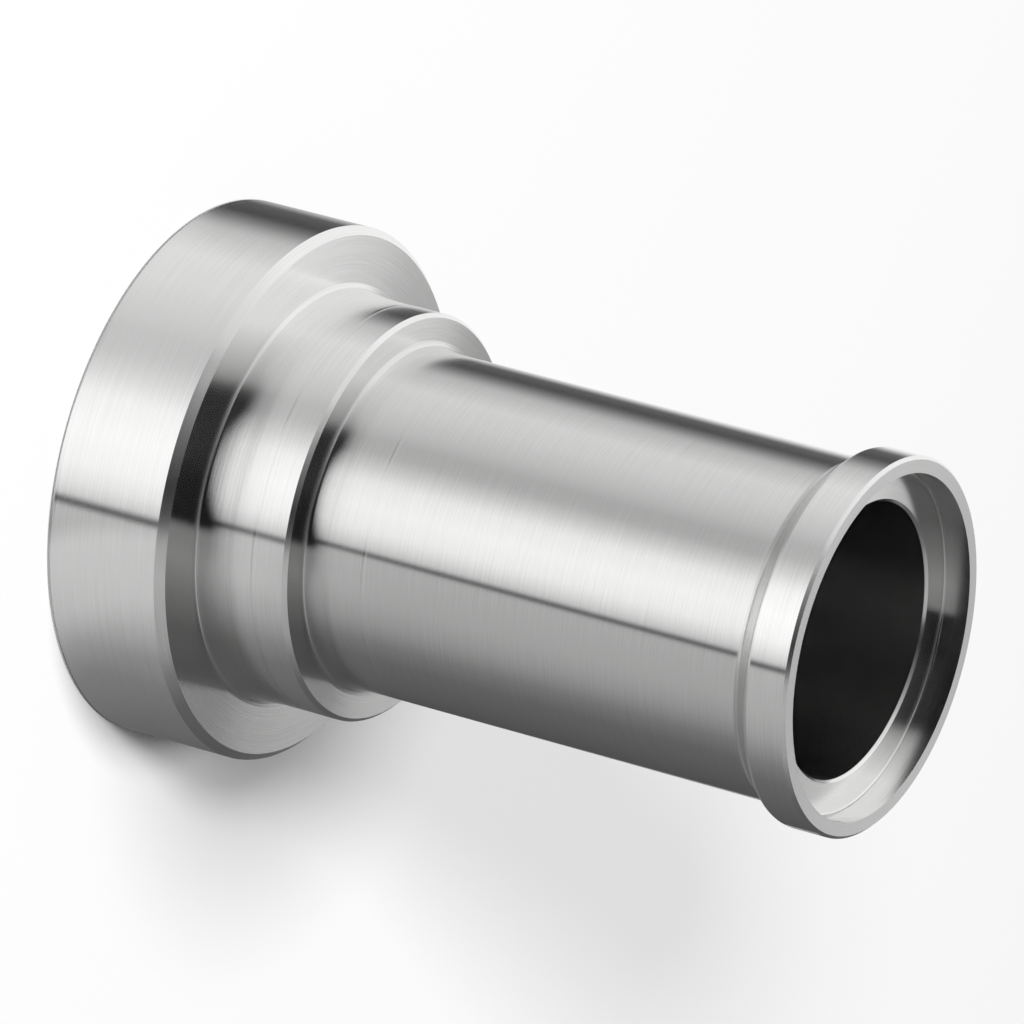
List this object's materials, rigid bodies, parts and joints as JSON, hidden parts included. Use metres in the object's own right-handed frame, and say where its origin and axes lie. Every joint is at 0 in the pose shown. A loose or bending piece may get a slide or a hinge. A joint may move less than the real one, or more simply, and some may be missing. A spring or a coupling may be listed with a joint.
{
  "type": "face seal fitting",
  "caption": "Turned steel face seal gland with a stepped collar, a long neck and a rimmed weld socket for a tube.",
  "frame": {"origin": "centre of the sealing face's flat land, at the foot of the collar", "axes": "+Z along the bore, from the sealing face towards the tube socket"},
  "size_m": [0.02, 0.02, 0.0289],
  "materials": {
    "turned_stainless_steel": "bright stainless steel with fine turning marks round the axis"
  },
  "bodies": {
    "root": {"face_seal_gland": "turned_stainless_steel"}
  },
  "joints": []
}
